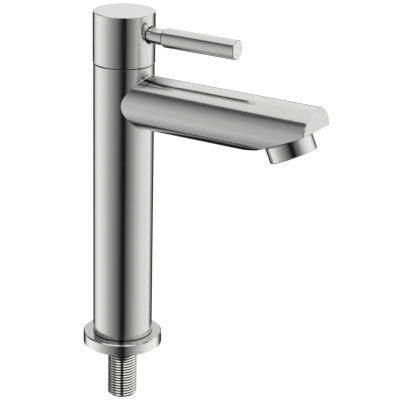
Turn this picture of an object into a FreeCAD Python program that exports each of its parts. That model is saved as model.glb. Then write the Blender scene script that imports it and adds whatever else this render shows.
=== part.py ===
import FreeCAD, Part
import math
import os
import Sketcher
from types import SimpleNamespace

# Driving sizes in millimetres, angles in degrees
SIZES = {
    # Base flange and its seal
    "flange_diameter": 56.6,
    "flange_thickness": 8.2,
    "flange_bevel": 0.8,
    "seal_section": 2.6,
    "seal_inset": 5.5,
    # Column, a stock stainless tube
    "column_diameter": 42.4,
    "column_wall": 2.0,
    "column_length": 200.8,
    "column_bevel": 0.35,
    "window_diameter": 26.0,
    # Threaded tail, G1/2 over the thread, whose turns are closed rings, and a smaller shank
    "tail_diameter": 20.955,
    "tail_shank_diameter": 20.0,
    "tail_bore": 15.0,
    "tail_drop": 41.8,
    "tail_grip": 9.0,
    "tail_bevel": 1.0,
    "thread_rings": 12,
    "thread_depth": 1.05,
    "thread_land": 1.0,
    # Riser pipe, brazed into a socket at each end
    "riser_diameter": 12.0,
    "riser_wall": 1.0,
    "riser_end_play": 0.3,
    "plug_shoulder": 2.0,
    "socket_depth": 9.0,
    "socket_wall": 2.5,
    # Valve housing in the head of the column
    "housing_drop": 2.5,
    "housing_flange": 9.5,
    "housing_wall": 3.0,
    "housing_floor": 3.0,
    "chamber_clear": 0.3,
    "housing_ring_depth": 1.9,
    "housing_ring_width": 1.9,
    "seat_bore": 9.0,
    "port_diameter": 9.0,
    "port_count": 2,
    # Quarter-turn headwork with ceramic discs, its G1/2 thread plain at the pitch diameter
    "head_thread_diameter": 19.793,
    "head_thread_length": 9.0,
    "hex_flats": 24.0,
    "hex_height": 5.0,
    "neck_diameter": 15.0,
    "neck_height": 7.5,
    "skirt_diameter": 18.4,
    "skirt_drop": 7.2,
    "skirt_gap": 0.5,
    "disc_bore": 15.2,
    "disc_thickness": 3.0,
    "disc_port_inner": 2.2,
    "disc_port_outer": 6.0,
    "disc_port_angle": 70.0,
    "key_width": 3.0,
    "seal_height": 2.6,
    "outlet_width": 9.0,
    "bonnet_ring_section": 1.6,
    # Stem of the headwork
    "stem_diameter": 11.0,
    "stem_flange_height": 3.0,
    "stem_ring_section": 1.5,
    "tang_depth": 1.4,
    "spline_diameter": 8.0,
    "spline_depth": 0.45,
    "spline_teeth": 20,
    "spline_length": 12.0,
    "spline_overrun": 0.2,
    "screw_hole": 4.2,
    "screw_hole_depth": 8.0,
    "stop_thickness": 2.0,
    "stop_lug_width": 40.0,
    "stop_lug_depth": 1.8,
    "stop_rim_wall": 0.5,
    "quarter_turn": 90.0,
    "stop_play": 1.0,
    # Guide ring between column and cap
    "glide_rise": 3.0,
    "glide_bore": 31.0,
    # Handle cap
    "cap_gap": 0.6,
    "cap_diameter": 43.0,
    "cap_height": 35.7,
    "cap_skirt_wall": 2.6,
    "cap_top_thickness": 4.5,
    "cap_bevel": 0.35,
    # Hub inside the cap, and its screw
    "hub_diameter": 28.0,
    "hub_height": 16.8,
    "hub_boss_diameter": 18.0,
    "hub_boss_height": 2.8,
    "hub_flat_depth": 0.8,
    "screw_diameter": 4.0,
    "screw_head_diameter": 7.0,
    "screw_head_height": 3.0,
    "screw_head_depth": 0.4,
    "screw_socket": 3.0,
    "screw_length": 12.0,
    # Lever
    "lever_drop": 14.0,
    "neck_rod_diameter": 11.1,
    "lever_hole_clearance": 0.45,
    "neck_reach": 34.2,
    "lever_reach": 89.4,
    "grip_diameter": 13.4,
    "grip_start_bevel": 1.1,
    "grip_end_bevel": 0.5,
    "hub_stud_diameter": 8.0,
    "hub_stud_length": 7.0,
    "grip_stud_diameter": 6.0,
    "grip_stud_length": 10.0,
    "grip_stud_play": 0.4,
    # Spout
    "spout_diameter": 38.0,
    "spout_wall": 1.5,
    "spout_reach": 149.9,
    "spout_drop": 25.7,
    "sole_rise": 3.8,
    "sole_angle": 25.4,
    "plate_thickness": 1.5,
    # Aerator with an M28 x 1 thread
    "aerator_setback": 22.8,
    "aerator_collar_diameter": 31.4,
    "aerator_collar_height": 11.6,
    "aerator_collar_bevel": 0.5,
    "aerator_thread_diameter": 28.0,
    "aerator_thread_length": 6.0,
    "aerator_bore": 24.6,
    "aerator_lip_bore": 22.0,
    "aerator_lip_height": 1.4,
    "bush_wall": 1.5,
    "bush_ledge_bore": 23.6,
    "bush_ledge_height": 1.5,
    "rubber_thickness": 1.6,
    "insert_plate": 2.0,
    "insert_wall": 1.3,
    "insert_hole_diameter": 3.0,
    "insert_hole_circle": 16.0,
    "insert_hole_count": 6,
    "grid_height": 1.2,
    "grid_rim": 1.0,
    "grid_bar": 0.5,
    "grid_bars": 5,
    # Clearances: fixed fits, running fits and the water film between discs
    "fixed_clear": 0.1,
    "running_clear": 0.06,
    "flange_clear": 0.3,
    "disc_film": 0.03,
    # How far a cutting shape runs past the face that it cuts
    "cutter_overrun": 1.0,
}

doc = FreeCAD.newDocument("BasinTap")
sheet = doc.addObject("Spreadsheet::Sheet", "Sizes")
for row, (alias, value) in enumerate(SIZES.items(), start=1):
    sheet.set(f"A{row}", alias)
    sheet.set(f"B{row}", str(value))
    sheet.setAlias(f"B{row}", alias)
doc.recompute()


class Size:
    """A number that also remembers the spreadsheet expression it comes from."""

    def __init__(self, value, text):
        self.value = value
        self.text = text

    def __add__(self, other):
        return Size(self.value + number(other), f"({self.text} + {words(other)})")

    def __radd__(self, other):
        return Size(number(other) + self.value, f"({words(other)} + {self.text})")

    def __sub__(self, other):
        return Size(self.value - number(other), f"({self.text} - {words(other)})")

    def __rsub__(self, other):
        return Size(number(other) - self.value, f"({words(other)} - {self.text})")

    def __mul__(self, other):
        return Size(self.value * number(other), f"({self.text} * {words(other)})")

    def __rmul__(self, other):
        return self * other

    def __truediv__(self, other):
        return Size(self.value / number(other), f"({self.text} / {words(other)})")

    def __neg__(self):
        return Size(-self.value, f"(0 - {self.text})")


def number(item):
    return item.value if isinstance(item, Size) else item


def words(item):
    if isinstance(item, Size):
        return item.text
    return str(item) if item >= 0 else f"(0 - {-item})"


def cosine(angle):
    return Size(math.cos(math.radians(angle.value)), f"cos({angle.text} * 1deg)")


def sine(angle):
    return Size(math.sin(math.radians(angle.value)), f"sin({angle.text} * 1deg)")


def bind(thing, path, size):
    """Tie one property of a document object to the sheet, or to a plain number."""
    thing.setExpression(path, words(size))


s = SimpleNamespace(**{alias: Size(value, f"Sizes.{alias}") for alias, value in SIZES.items()})

# Pieces by node name, in the order in which they are written
pieces = {}


def keep(name, item):
    """Register a finished piece under its node name."""
    item.Label = name
    pieces[name] = item
    return item


def origin_item(body, role):
    return next(item for item in body.Origin.OriginFeatures if item.Role == role)


def place_sketch(body, name, plane, lift=0):
    """Attach a new sketch to one of the body's origin planes, lifted along its normal."""
    sketch = body.newObject("Sketcher::SketchObject", name)
    sketch.AttachmentSupport = (origin_item(body, plane), [""])
    sketch.MapMode = "FlatFace"
    bind(sketch, "AttachmentOffset.Base.z", lift)
    return sketch


def outline(sketch, points):
    """Draw a closed loop of straight lines whose corners are tied to the sheet."""
    first = sketch.GeometryCount
    count = len(points)
    corners = [FreeCAD.Vector(number(across), number(up), 0) for across, up in points]
    for index in range(count):
        line = Part.LineSegment(corners[index], corners[(index + 1) % count])
        sketch.addGeometry(line, False)
    for index in range(count):
        after = first + (index + 1) % count
        sketch.addConstraint(Sketcher.Constraint("Coincident", first + index, 2, after, 1))
    for index, corner in enumerate(points):
        for kind, axis, distance in (("DistanceX", -2, corner[0]), ("DistanceY", -1, corner[1])):
            if number(distance) == 0 and not isinstance(distance, Size):
                rule = Sketcher.Constraint("PointOnObject", first + index, 1, axis)
                sketch.addConstraint(rule)
            else:
                rule = Sketcher.Constraint(kind, -1, 1, first + index, 1, number(distance))
                place = sketch.addConstraint(rule)
                sketch.setExpression(f"Constraints[{place}]", words(distance))


def ring_outline(sketch, across, up, radius):
    """Draw one circle tied to the sheet."""
    centre = FreeCAD.Vector(number(across), number(up), 0)
    index = sketch.addGeometry(Part.Circle(centre, FreeCAD.Vector(0, 0, 1), number(radius)), False)
    for kind, axis, distance in (("DistanceX", -2, across), ("DistanceY", -1, up)):
        if isinstance(distance, Size):
            rule = Sketcher.Constraint(kind, -1, 1, index, 3, number(distance))
            place = sketch.addConstraint(rule)
            sketch.setExpression(f"Constraints[{place}]", distance.text)
        else:
            sketch.addConstraint(Sketcher.Constraint("PointOnObject", index, 3, axis))
    place = sketch.addConstraint(Sketcher.Constraint("Radius", index, number(radius)))
    sketch.setExpression(f"Constraints[{place}]", radius.text)


def turned(name, points):
    """Turn a profile of (radius, height) corners about the body's own Z axis."""
    body = doc.addObject("PartDesign::Body", name)
    sketch = place_sketch(body, f"{name}_profile", "XZ_Plane")
    outline(sketch, points)
    turn = body.newObject("PartDesign::Revolution", f"{name}_turn")
    turn.Profile = sketch
    turn.ReferenceAxis = (sketch, ["V_Axis"])
    turn.Angle = 360
    sketch.Visibility = False
    doc.recompute()
    return body


def ring(name, inner, outer, low, high):
    """Turn a plain ring of rectangular section, such as a rubber ring squeezed in its groove."""
    return turned(name, [(inner, low), (outer, low), (outer, high), (inner, high)])


def pad(body, name, sketch, length, reverse=False):
    feature = body.newObject("PartDesign::Pad", name)
    feature.Profile = sketch
    feature.Reversed = reverse
    bind(feature, "Length", length)
    doc.recompute()
    return feature


def pocket(body, name, sketch, length, reverse=False, both_ways=False):
    """Cut a sketch into the body, and stop if it cuts nothing."""
    before = body.Shape.Volume
    feature = body.newObject("PartDesign::Pocket", name)
    feature.Profile = sketch
    feature.Midplane = both_ways
    feature.Reversed = reverse
    bind(feature, "Length", length)
    doc.recompute()
    if not body.Shape.Volume < before:
        raise ValueError(f"{name} cuts nothing")
    return feature


def spread(body, name, feature, count):
    """Repeat a feature evenly about the body's Z axis."""
    pattern = body.newObject("PartDesign::PolarPattern", name)
    pattern.Originals = [feature]
    pattern.Axis = (origin_item(body, "Z_Axis"), [""])
    pattern.Angle = 360
    bind(pattern, "Occurrences", count)
    body.Tip = pattern
    doc.recompute()
    return pattern


def move(item, across=0, up=0, tilt=None, sideways=0):
    """Place an item, tilted from +Z towards +X by an angle."""
    angle = number(tilt) if tilt is not None else 0
    item.Placement = FreeCAD.Placement(
        FreeCAD.Vector(number(across), number(sideways), number(up)),
        FreeCAD.Rotation(FreeCAD.Vector(0, 1, 0), angle),
    )
    bind(item, "Placement.Base.x", across)
    bind(item, "Placement.Base.y", sideways)
    bind(item, "Placement.Base.z", up)
    if isinstance(tilt, Size):
        item.setExpression("Placement.Rotation.Angle", tilt.text)
    return item


def lean(item, across, up):
    """Place an item square to the slanted sole of the spout."""
    item.Placement = FreeCAD.Placement(
        FreeCAD.Vector(number(across), 0, number(up)),
        FreeCAD.Rotation(FreeCAD.Vector(0, -1, 0), s.sole_angle.value),
    )
    bind(item, "Placement.Base.x", across)
    bind(item, "Placement.Base.z", up)
    item.setExpression("Placement.Rotation.Angle", s.sole_angle.text)
    return item


def rod(name, radius, height, sector=None):
    item = doc.addObject("Part::Cylinder", name)
    bind(item, "Radius", radius)
    bind(item, "Height", height)
    if sector is not None:
        bind(item, "Angle", sector)
    return item


def block(name, length, width, height):
    item = doc.addObject("Part::Box", name)
    bind(item, "Length", length)
    bind(item, "Width", width)
    bind(item, "Height", height)
    return item


def minus(name, base, *tools):
    """Cut one or more tools from a base, and stop if they cut nothing."""
    doc.recompute()
    before = base.Shape.Volume
    for count, tool in enumerate(tools, start=1):
        last = count == len(tools)
        cut = doc.addObject("Part::Cut", name if last else f"{name}_step{count}")
        cut.Base = base
        cut.Tool = tool
        doc.recompute()
        base = cut
    if not base.Shape.Volume < before:
        raise ValueError(f"{name} cuts nothing")
    return base


def common(name, base, tool):
    item = doc.addObject("Part::Common", name)
    item.Base = base
    item.Tool = tool
    doc.recompute()
    return item


def join(name, *shapes):
    item = doc.addObject("Part::MultiFuse", name)
    item.Shapes = list(shapes)
    item.Refine = True
    doc.recompute()
    return item


def group(name, *shapes):
    item = doc.addObject("Part::Compound", name)
    item.Links = list(shapes)
    doc.recompute()
    return item


def ring_sector(name, inner, outer, height, sweep, turn, up):
    """A piece of a flat ring, centred on an angle turned from +X."""
    blank = rod(f"{name}_blank", outer, height, sweep)
    bore = rod(f"{name}_bore", inner, height + s.cutter_overrun * 2)
    bind(bore, "Placement.Base.z", -s.cutter_overrun)
    sector = minus(name, blank, bore)
    sector.Placement.Rotation = FreeCAD.Rotation(FreeCAD.Vector(0, 0, 1), number(turn))
    sector.setExpression("Placement.Rotation.Angle", words(turn))
    bind(sector, "Placement.Base.z", up)
    return sector


# Levels up the tap, from the deck face at zero
flange_top = s.flange_thickness
column_top = flange_top + s.column_length
cap_foot = column_top + s.cap_gap
cap_top = cap_foot + s.cap_height
cap_ceiling = cap_top - s.cap_top_thickness
lever_level = cap_top - s.lever_drop
spout_level = column_top - s.spout_drop

tail_top = flange_top + s.tail_grip
plug_top = tail_top + s.socket_depth

housing_top = column_top - s.housing_drop
housing_under = housing_top - s.housing_flange
thread_end = housing_top - s.head_thread_length

# Levels inside the headwork, stacked down from the thread's end
shoulder_level = thread_end - s.skirt_drop
stem_flange_top = shoulder_level - s.disc_film
stem_flange_foot = stem_flange_top - s.stem_flange_height
moving_disc_foot = stem_flange_foot - s.disc_film - s.disc_thickness
fixed_disc_foot = moving_disc_foot - s.disc_film - s.disc_thickness
seat_level = fixed_disc_foot - s.seal_height
floor_under = seat_level - s.housing_floor
socket_mouth = floor_under - s.socket_depth
hex_top = housing_top + s.hex_height
neck_top = hex_top + s.neck_height
stop_foot = neck_top + s.fixed_clear
stop_top = stop_foot + s.stop_thickness
hub_top = cap_ceiling
hub_foot = hub_top - s.hub_height
boss_foot = hub_foot - s.hub_boss_height
stem_top = stop_foot + s.spline_length

# Radii
column_radius = s.column_diameter / 2
column_bore = column_radius - s.column_wall
riser_radius = s.riser_diameter / 2
riser_bore = riser_radius - s.riser_wall
tail_radius = s.tail_diameter / 2
shank_radius = s.tail_shank_diameter / 2
socket_bore = riser_radius + s.fixed_clear
socket_radius = socket_bore + s.socket_wall
head_thread_radius = s.head_thread_diameter / 2
head_ring_bore = head_thread_radius + s.housing_ring_width
stem_radius = s.stem_diameter / 2
stem_bore = stem_radius + s.running_clear
disc_radius = s.disc_bore / 2 - s.fixed_clear
spline_radius = s.spline_diameter / 2
spline_root = spline_radius - s.spline_depth
cap_radius = s.cap_diameter / 2
skirt_bore = cap_radius - s.cap_skirt_wall
hub_radius = s.hub_diameter / 2
hub_bore = hub_radius + s.fixed_clear
spout_radius = s.spout_diameter / 2
spout_bore = spout_radius - s.spout_wall


def base_flange():
    """Ring on the deck, bevelled above and grooved below for its seal."""
    rim = s.flange_diameter / 2
    hole = tail_radius + s.flange_clear
    groove_middle = rim - s.seal_inset
    groove_half = s.seal_section / 2 + s.fixed_clear
    groove_depth = s.seal_section + s.fixed_clear
    keep("base_flange", turned("flange", [
        (hole, 0),
        (groove_middle - groove_half, 0),
        (groove_middle - groove_half, groove_depth),
        (groove_middle + groove_half, groove_depth),
        (groove_middle + groove_half, 0),
        (rim, 0),
        (rim, flange_top - s.flange_bevel),
        (rim - s.flange_bevel, flange_top),
        (hole, flange_top),
    ]))
    half = s.seal_section / 2
    keep("flange_o_ring", ring(
        "flange_seal", groove_middle - half, groove_middle + half, 0, s.seal_section,
    ))


def column_tube():
    """Straight tube with a round window into the spout."""
    body = turned("column", [
        (column_bore, flange_top),
        (column_radius, flange_top),
        (column_radius, column_top - s.column_bevel),
        (column_radius - s.column_bevel, column_top),
        (column_bore, column_top),
    ])
    window = place_sketch(body, "column_window", "YZ_Plane")
    ring_outline(window, 0, spout_level, s.window_diameter / 2)
    pocket(body, "column_window_cut", window, s.column_diameter, reverse=True)
    keep("column_tube", body)


def base_plug():
    """Turned plug welded into the foot of the column, bored for the tail and the riser pipe."""
    outer = column_bore - s.fixed_clear
    tail_hole = shank_radius + s.fixed_clear
    keep("base_plug", turned("plug", [
        (tail_hole, flange_top),
        (outer, flange_top),
        (outer, tail_top + s.plug_shoulder),
        (socket_radius, tail_top + s.plug_shoulder),
        (socket_radius, plug_top),
        (socket_bore, plug_top),
        (socket_bore, tail_top),
        (tail_hole, tail_top),
    ]))


def threaded_tail():
    """Hollow tail: thread below the flange, plain shank screwed into the plug above it."""
    bore = s.tail_bore / 2
    thread_foot = s.tail_bevel - s.tail_drop
    pitch = -thread_foot / s.thread_rings
    points = [
        (bore, -s.tail_drop),
        (tail_radius - s.tail_bevel, -s.tail_drop),
        (tail_radius, thread_foot),
    ]
    for index in range(SIZES["thread_rings"]):
        ring_foot = thread_foot + pitch * index
        points += [
            (tail_radius, ring_foot + s.thread_land / 2),
            (tail_radius - s.thread_depth, ring_foot + pitch / 2),
            (tail_radius, ring_foot + pitch - s.thread_land / 2),
        ]
    points += [
        (tail_radius, 0),
        (shank_radius, 0),
        (shank_radius, tail_top),
        (bore, tail_top),
    ]
    keep("threaded_tail", turned("tail", points))


def riser():
    """Pipe up the column, from the tail to the seat of the valve."""
    foot = tail_top + s.riser_end_play
    head = floor_under - s.riser_end_play
    keep("riser_pipe", ring("riser", riser_bore, riser_radius, foot, head))


def valve_housing():
    """Turned block in the head of the column: riser socket, seat, ported chamber and thread."""
    chamber_bore = s.skirt_diameter / 2 + s.chamber_clear
    chamber_radius = chamber_bore + s.housing_wall
    seat_bore = s.seat_bore / 2
    body = turned("housing", [
        (socket_bore, socket_mouth),
        (socket_radius, socket_mouth),
        (socket_radius, floor_under),
        (chamber_radius, floor_under),
        (chamber_radius, housing_under),
        (column_bore - s.fixed_clear, housing_under),
        (column_bore - s.fixed_clear, housing_top),
        (head_ring_bore, housing_top),
        (head_ring_bore, housing_top - s.housing_ring_depth),
        (head_thread_radius, housing_top - s.housing_ring_depth),
        (head_thread_radius, thread_end),
        (chamber_bore, thread_end),
        (chamber_bore, seat_level),
        (seat_bore, seat_level),
        (seat_bore, floor_under),
        (socket_bore, floor_under),
    ])
    port = place_sketch(body, "housing_port", "YZ_Plane")
    ring_outline(port, 0, moving_disc_foot + s.disc_thickness, s.port_diameter / 2)
    hole = pocket(body, "housing_port_cut", port, s.column_diameter, reverse=True)
    spread(body, "housing_ports", hole, s.port_count)
    keep("valve_housing", body)
    ring_foot = housing_top - s.housing_ring_depth
    keep("bonnet_o_ring", ring(
        "bonnet_ring",
        head_thread_radius,
        head_ring_bore - s.fixed_clear,
        ring_foot,
        ring_foot + s.bonnet_ring_section,
    ))


def cartridge_body():
    """Brass body of the headwork: hexagon, threaded barrel, slotted skirt and stop rim."""
    skirt_foot = seat_level + s.skirt_gap
    skirt = s.skirt_diameter / 2
    bore = s.disc_bore / 2
    barrel = head_thread_radius - s.fixed_clear
    neck = s.neck_diameter / 2
    body = turned("cartridge", [
        (bore, skirt_foot),
        (skirt, skirt_foot),
        (skirt, thread_end),
        (barrel, thread_end),
        (barrel, housing_top),
        (head_ring_bore - s.fixed_clear, housing_top),
        (head_ring_bore - s.fixed_clear, hex_top),
        (neck, hex_top),
        (neck, neck_top),
        (stem_bore, neck_top),
        (stem_bore, shoulder_level),
        (bore, shoulder_level),
    ])
    hexagon = place_sketch(body, "cartridge_hexagon", "XY_Plane", housing_top)
    half = s.hex_flats / 2
    side = half / math.sqrt(3)
    outline(hexagon, [
        (half, -side), (half, side), (0, side * 2), (-half, side), (-half, -side), (0, -side * 2),
    ])
    ring_outline(hexagon, 0, 0, neck - s.fixed_clear)
    pad(body, "cartridge_hexagon_pad", hexagon, s.hex_height)
    outlet = place_sketch(body, "cartridge_outlet", "XZ_Plane")
    half = s.outlet_width / 2
    outlet_top = stem_flange_top
    outline(outlet, [
        (-half, moving_disc_foot), (half, moving_disc_foot), (half, outlet_top), (-half, outlet_top),
    ])
    pocket(body, "cartridge_outlets", outlet, s.head_thread_diameter * 2, both_ways=True)
    slot = place_sketch(body, "cartridge_key_slot", "YZ_Plane")
    half = s.key_width / 2 + s.fixed_clear
    outline(slot, [
        (-half, skirt_foot), (half, skirt_foot), (half, moving_disc_foot), (-half, moving_disc_foot),
    ])
    pocket(body, "cartridge_key_slots", slot, s.head_thread_diameter * 2, both_ways=True)
    sweep = s.quarter_turn + s.stop_lug_width + s.stop_play * 2
    recess = ring_sector(
        "cartridge_stop_recess",
        stem_bore + s.stop_rim_wall,
        neck + s.cutter_overrun,
        s.stop_lug_depth + s.fixed_clear + s.cutter_overrun,
        sweep,
        -(s.stop_lug_width / 2 + s.stop_play),
        neck_top - s.stop_lug_depth - s.fixed_clear,
    )
    keep("cartridge_body", minus("cartridge_finished", body, recess))


def disc_ports(name, foot, turn):
    """Two facing sectors that let the water through a ceramic disc."""
    ports = []
    for side, angle in (("first", 0), ("second", 180)):
        ports.append(ring_sector(
            f"{name}_{side}",
            s.disc_port_inner,
            s.disc_port_outer,
            s.disc_thickness + s.cutter_overrun * 2,
            s.disc_port_angle,
            turn + angle - s.disc_port_angle / 2,
            foot - s.cutter_overrun,
        ))
    return ports


def ceramic_discs():
    """Keyed fixed disc below, slotted moving disc above, closed while their ports are crossed."""
    blank = rod("fixed_blank", disc_radius, s.disc_thickness)
    move(blank, 0, fixed_disc_foot)
    key_length = s.skirt_diameter - s.fixed_clear * 2
    key = block("fixed_key", key_length, s.key_width, s.disc_thickness)
    move(key, -key_length / 2, fixed_disc_foot, sideways=-s.key_width / 2)
    keyed = join("fixed_keyed", blank, key)
    ports = disc_ports("fixed_port", fixed_disc_foot, s.quarter_turn)
    keep("fixed_disc", minus("fixed_finished", keyed, *ports))
    blank = rod("moving_blank", disc_radius, s.disc_thickness)
    move(blank, 0, moving_disc_foot)
    slot_width = s.key_width + s.fixed_clear * 2
    slot_depth = s.tang_depth + s.fixed_clear
    slot = block("moving_slot", s.disc_bore, slot_width, slot_depth + s.cutter_overrun)
    move(slot, -s.disc_bore / 2, moving_disc_foot + s.disc_thickness - slot_depth,
         sideways=-slot_width / 2)
    ports = disc_ports("moving_port", moving_disc_foot, 0)
    keep("moving_disc", minus("moving_finished", blank, slot, *ports))
    keep("seat_seal", ring("seal", s.seat_bore / 2, disc_radius, seat_level, fixed_disc_foot))


def spline_tooth(inner_shift):
    """Corners of one triangular spline gap or tooth, pointing at the axis."""
    half_pitch = spline_radius * math.pi / s.spline_teeth / 2
    slope = half_pitch / s.spline_depth
    apex = spline_root + inner_shift
    far = spline_radius + inner_shift + s.spline_overrun
    half = (s.spline_depth + s.spline_overrun) * slope
    return [(apex, 0), (far, half), (far, -half)]


def spindle():
    """Stem of the headwork: drive tang, flange, ring groove, spline and tapped top."""
    flange = disc_radius - s.fixed_clear
    groove = stem_radius - s.stem_ring_section
    half = s.stem_ring_section / 2 + s.fixed_clear
    ring_level = (shoulder_level + neck_top) / 2
    hole = s.screw_hole / 2
    body = turned("stem", [
        (0, stem_flange_foot),
        (flange, stem_flange_foot),
        (flange, stem_flange_top),
        (stem_radius, stem_flange_top),
        (stem_radius, ring_level - half),
        (groove, ring_level - half),
        (groove, ring_level + half),
        (stem_radius, ring_level + half),
        (stem_radius, neck_top - s.stop_lug_depth / 2),
        (spline_radius, neck_top - s.stop_lug_depth / 2),
        (spline_radius, stem_top - s.spline_depth),
        (spline_root, stem_top),
        (hole, stem_top),
        (hole, stem_top - s.screw_hole_depth),
        (0, stem_top - s.screw_hole_depth),
    ])
    tang = place_sketch(body, "stem_tang", "XY_Plane", stem_flange_foot)
    half_length = flange - s.fixed_clear
    half_width = s.key_width / 2
    outline(tang, [
        (-half_length, -half_width), (half_length, -half_width),
        (half_length, half_width), (-half_length, half_width),
    ])
    pad(body, "stem_tang_pad", tang, s.tang_depth, reverse=True)
    gap = place_sketch(body, "stem_spline_gap", "XY_Plane", stem_top)
    outline(gap, spline_tooth(0))
    cut = pocket(body, "stem_spline_cut", gap, stem_top - neck_top)
    spread(body, "stem_spline", cut, s.spline_teeth)
    keep("spindle", body)
    half = s.stem_ring_section / 2
    keep("spindle_o_ring", ring(
        "stem_ring", groove, stem_radius, ring_level - half, ring_level + half,
    ))


def spline_teeth_inside(body, name, foot, height):
    """Teeth inside a bore that mesh with the stem's spline."""
    tooth = place_sketch(body, f"{name}_tooth", "XY_Plane", foot)
    outline(tooth, spline_tooth(s.fixed_clear))
    feature = pad(body, f"{name}_tooth_pad", tooth, height)
    spread(body, f"{name}_teeth", feature, s.spline_teeth)


def stop_ring():
    """Splined ring on the stem, whose lug swings in the recess of the headwork's neck."""
    neck = s.neck_diameter / 2
    bore = spline_radius + s.fixed_clear
    body = ring("stop", bore, neck, stop_foot, stop_top)
    spline_teeth_inside(body, "stop", stop_foot, s.stop_thickness)
    lug = ring_sector(
        "stop_lug",
        stem_bore + s.stop_rim_wall + s.fixed_clear,
        neck,
        s.stop_lug_depth + s.fixed_clear,
        s.stop_lug_width,
        -s.stop_lug_width / 2,
        stop_foot - s.stop_lug_depth,
    )
    keep("stop_ring", join("stop_finished", body, lug))


def glide_ring():
    """Plastic ring seated in the column's rim, which steadies the cap."""
    bore = s.glide_bore / 2
    keep("glide_ring", turned("glide", [
        (bore, housing_top),
        (column_bore - s.fixed_clear, housing_top),
        (column_bore - s.fixed_clear, column_top),
        (skirt_bore - s.running_clear, column_top),
        (skirt_bore - s.running_clear, cap_foot + s.glide_rise),
        (bore, cap_foot + s.glide_rise),
    ]))


def handle_cap():
    """Turned cup with a socket for the hub and a side hole for the lever."""
    body = turned("cap", [
        (skirt_bore, cap_foot),
        (cap_radius - s.cap_bevel, cap_foot),
        (cap_radius, cap_foot + s.cap_bevel),
        (cap_radius, cap_top - s.cap_bevel),
        (cap_radius - s.cap_bevel, cap_top),
        (0, cap_top),
        (0, cap_ceiling),
        (hub_bore, cap_ceiling),
        (hub_bore, hub_foot),
        (skirt_bore, hub_foot),
    ])
    hole = place_sketch(body, "cap_lever_hole", "YZ_Plane")
    ring_outline(hole, 0, lever_level, s.neck_rod_diameter / 2 + s.lever_hole_clearance)
    pocket(body, "cap_lever_hole_cut", hole, s.cap_diameter, reverse=True)
    keep("handle_cap", body)


def spline_hub():
    """Adapter that the cap drops over, driven by the lever's stud and the stem's spline."""
    boss = s.hub_boss_diameter / 2
    bore = spline_radius + s.fixed_clear
    shelf = stem_top + s.fixed_clear
    screw = s.screw_diameter / 2 + s.fixed_clear
    head = s.screw_head_diameter / 2 + s.fixed_clear
    head_seat = hub_top - s.screw_head_height - s.screw_head_depth
    body = turned("hub", [
        (bore, boss_foot),
        (boss, boss_foot),
        (boss, hub_foot),
        (hub_radius, hub_foot),
        (hub_radius, hub_top),
        (head, hub_top),
        (head, head_seat),
        (screw, head_seat),
        (screw, shelf),
        (bore, shelf),
    ])
    spline_teeth_inside(body, "hub", boss_foot, stem_top - boss_foot)
    flat = hub_radius - s.hub_flat_depth
    face = place_sketch(body, "hub_flat", "YZ_Plane", flat)
    ring_outline(face, 0, lever_level, s.neck_rod_diameter / 2 + s.lever_hole_clearance)
    pocket(body, "hub_flat_cut", face, s.hub_flat_depth + s.cutter_overrun, reverse=True)
    stud_end = flat - s.hub_stud_length - s.fixed_clear
    thread = place_sketch(body, "hub_stud_hole", "YZ_Plane", stud_end)
    ring_outline(thread, 0, lever_level, s.hub_stud_diameter / 2 + s.fixed_clear)
    pocket(body, "hub_stud_cut", thread, s.hub_diameter, reverse=True)
    keep("spline_hub", body)
    screw_body = turned("screw", [
        (0, head_seat - s.screw_length),
        (s.screw_diameter / 2, head_seat - s.screw_length),
        (s.screw_diameter / 2, head_seat),
        (s.screw_head_diameter / 2, head_seat),
        (s.screw_head_diameter / 2, head_seat + s.screw_head_height),
        (0, head_seat + s.screw_head_height),
    ])
    socket = place_sketch(screw_body, "screw_socket_hexagon", "XY_Plane",
                          head_seat + s.screw_head_height)
    half = s.screw_socket / 2
    side = half / math.sqrt(3)
    outline(socket, [
        (half, -side), (half, side), (0, side * 2), (-half, side), (-half, -side), (0, -side * 2),
    ])
    pocket(screw_body, "screw_socket_cut", socket, s.screw_head_height / 2)
    keep("hub_screw", screw_body)


def lever():
    """Neck rod with a stud at each end, and the round grip screwed on it."""
    seat = hub_radius - s.hub_flat_depth
    neck = s.neck_rod_diameter / 2
    hub_stud = s.hub_stud_diameter / 2
    grip_stud = s.grip_stud_diameter / 2
    rod_length = s.neck_reach - seat
    body = turned("neck", [
        (0, -s.hub_stud_length),
        (hub_stud, -s.hub_stud_length),
        (hub_stud, 0),
        (neck, 0),
        (neck, rod_length),
        (grip_stud, rod_length),
        (grip_stud, rod_length + s.grip_stud_length),
        (0, rod_length + s.grip_stud_length),
    ])
    keep("lever_neck", move(body, seat, lever_level, 90))
    grip = s.grip_diameter / 2
    length = s.lever_reach - s.neck_reach
    bore = grip_stud + s.fixed_clear
    depth = s.grip_stud_length + s.grip_stud_play
    body = turned("grip", [
        (bore, 0),
        (grip - s.grip_start_bevel, 0),
        (grip, s.grip_start_bevel),
        (grip, length - s.grip_end_bevel),
        (grip - s.grip_end_bevel, length),
        (0, length),
        (0, depth),
        (bore, depth),
    ])
    keep("lever_grip", move(body, s.neck_reach, lever_level, 90))


def sole_block(name, low, high):
    """A slab parallel to the sole, between two heights above it."""
    run = s.spout_diameter * 2
    width = s.spout_diameter + s.cutter_overrun * 2
    item = block(name, run + s.spout_diameter, width, high - low)
    across = s.spout_reach - run * cosine(s.sole_angle) - low * sine(s.sole_angle)
    up = spout_level + s.sole_rise - run * sine(s.sole_angle) + low * cosine(s.sole_angle)
    lean(item, across, up)
    bind(item, "Placement.Base.y", -width / 2)
    return item


def lying_rod(name, radius, start, stop):
    """A cylinder along the spout's axis."""
    return move(rod(name, radius, stop - start), start, spout_level, 90)


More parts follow.
